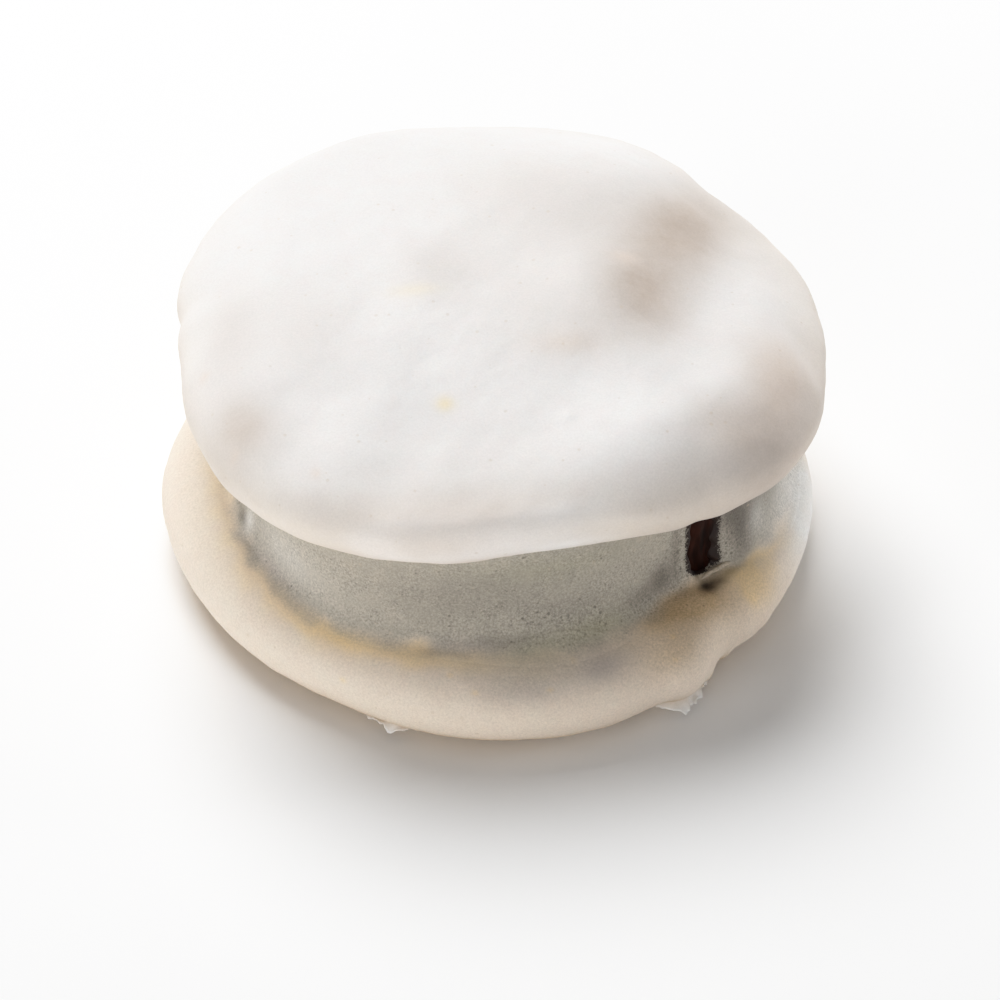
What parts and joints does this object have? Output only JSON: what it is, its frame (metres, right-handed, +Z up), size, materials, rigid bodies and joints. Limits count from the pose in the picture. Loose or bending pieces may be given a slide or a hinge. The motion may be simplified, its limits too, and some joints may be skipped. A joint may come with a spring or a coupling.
{
  "type": "alfajor",
  "caption": "Round glazed alfajor: two lumpy white-glazed biscuits sandwich a layer of dulce de leche, whose side has a thin glaze that is broken at one place.",
  "frame": {"origin": "on the surface it rests on, under the middle of its outline", "axes": "+Z up through both biscuits; -Y is the side that faces the viewer, and the break in the glaze is to the right of it, towards +X"},
  "size_m": [0.0663, 0.0684, 0.0328],
  "materials": {
    "upper_glaze": "matte white sugar glaze with a fine bloom of pores",
    "lower_glaze": "matte cream sugar glaze, ochre where the biscuit shows through",
    "film_of_glaze": "thin translucent glaze over dark filling, grey with dark pinholes",
    "dulce_de_leche": "dark brown milk caramel, moist"
  },
  "bodies": {
    "root": {"upper_biscuit": "upper_glaze", "lower_biscuit": "lower_glaze", "waist_glaze": "film_of_glaze", "filling": "dulce_de_leche"}
  },
  "joints": []
}
